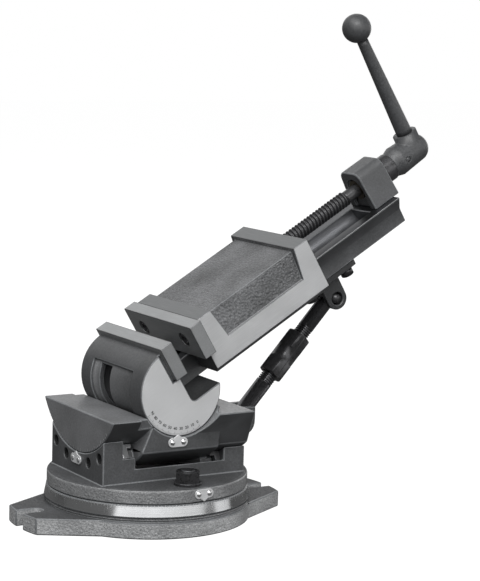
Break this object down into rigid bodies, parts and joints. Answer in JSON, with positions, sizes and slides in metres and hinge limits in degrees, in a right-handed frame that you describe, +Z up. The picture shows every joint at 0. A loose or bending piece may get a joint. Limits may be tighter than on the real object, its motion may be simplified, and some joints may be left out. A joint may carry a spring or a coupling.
{
  "type": "three-axis machine vise",
  "caption": "Machine vise with a screw-driven jaw on a tilting bed held by a turnbuckle strut, on a leaning rocker and a swivel base with slotted lugs.",
  "frame": {"origin": "on the swivel axis at the underside of the base", "axes": "+Z up along the swivel axis, +X along the bed towards the crank with the swivel at zero, dial on the -Y side"},
  "size_m": [0.3407, 0.15, 0.3661],
  "materials": {
    "cast_iron": "grey painted and machined casting",
    "ground_steel": "ground",
    "black_steel": "black oxide",
    "index_alloy": "rolled sheet",
    "bronze": "turned",
    "crank_grey": "satin dark grey"
  },
  "bodies": {
    "base": {"base_casting": "cast_iron", "swivel_pivot_pin": "ground_steel"},
    "swivel": {"swivel_table": "cast_iron", "lean_keeper_left": "ground_steel", "lean_keeper_right": "ground_steel", "lean_keeper_screws": "black_steel", "swivel_clamp_bolts": "black_steel", "swivel_clamp_washers": "ground_steel", "swivel_clamp_nuts": "black_steel", "swivel_index_plate": "index_alloy", "swivel_index_rivets": "index_alloy", "lean_index_plate": "index_alloy", "lean_index_rivets": "index_alloy"},
    "rocker": {"rocker_saddle": "cast_iron", "tilt_clamp_bolt": "black_steel", "tilt_clamp_washer": "ground_steel", "tilt_clamp_nut": "black_steel", "tilt_index_plate": "index_alloy", "tilt_index_rivets": "index_alloy", "strut_lower_pin": "ground_steel"},
    "vise": {"vise_body": "cast_iron", "fixed_jaw_plate": "ground_steel", "fixed_jaw_screws": "black_steel", "screw_bracket": "cast_iron", "bracket_screws": "black_steel", "bearing_bush": "bronze", "strut_bracket": "cast_iron", "strut_bracket_screws": "black_steel"},
    "jaw": {"moving_jaw": "cast_iron", "moving_jaw_plate": "ground_steel", "moving_jaw_screws": "black_steel", "lead_nut": "bronze", "gib_strip": "ground_steel", "gib_screws": "black_steel"},
    "screw": {"lead_screw": "black_steel", "thrust_collar": "black_steel", "collar_set_screw": "black_steel", "crank_hub": "crank_grey", "hub_pin": "ground_steel", "crank_arm": "crank_grey", "crank_ball": "crank_grey"},
    "strut_lower": {"strut_lower_rod": "black_steel"},
    "sleeve": {"turnbuckle_sleeve": "black_steel"},
    "strut_upper": {"strut_upper_rod": "black_steel", "strut_upper_pin": "ground_steel"}
  },
  "joints": [
    {"name": "swivel_turn", "type": "hinge", "parent": "base", "child": "swivel", "pos_m": [0, 0, 0.024], "axis": [0, 0, 1], "continuous": true},
    {"name": "lean", "type": "hinge", "parent": "swivel", "child": "rocker", "pos_m": [0, 0, 0.1175], "axis": [1, 0, 0], "range_deg": [-45, 45]},
    {"name": "tilt", "type": "hinge", "parent": "rocker", "child": "vise", "pos_m": [0, 0, 0.099], "axis": [0, -1, 0], "range_deg": [-10, 10]},
    {"name": "screw_turn", "type": "hinge", "parent": "vise", "child": "screw", "pos_m": [0.15882, 0, 0.22301], "axis": [0.8572, 0, 0.515], "range_deg": [-2010, 6950]},
    {"name": "jaw_slide", "type": "slide", "parent": "vise", "child": "jaw", "axis": [0.8572, 0, 0.515], "range_m": [-0.0169, 0.058]},
    {"name": "strut_swing", "type": "hinge", "parent": "rocker", "child": "strut_lower", "pos_m": [0.074, 0, 0.064], "axis": [0, -1, 0], "range_deg": [-12, 12]},
    {"name": "strut_stroke", "type": "slide", "parent": "strut_lower", "child": "strut_upper", "axis": [0.67, 0, 0.7424], "range_m": [-0.0136, 0.0136]},
    {"name": "sleeve_turn", "type": "hinge", "parent": "strut_lower", "child": "sleeve", "pos_m": [0.074, 0, 0.064], "axis": [0.67, 0, 0.7424], "range_deg": [-1640, 1640]}
  ],
  "couplings": [
    {"joint": "jaw_slide", "follows": "screw_turn", "m_per_rad": 0.00047746},
    {"joint": "strut_swing", "follows": "tilt", "ratio": 1.195},
    {"joint": "strut_stroke", "follows": "tilt", "m_per_rad": 0.07725},
    {"joint": "sleeve_turn", "follows": "tilt", "ratio": 161.79}
  ]
}
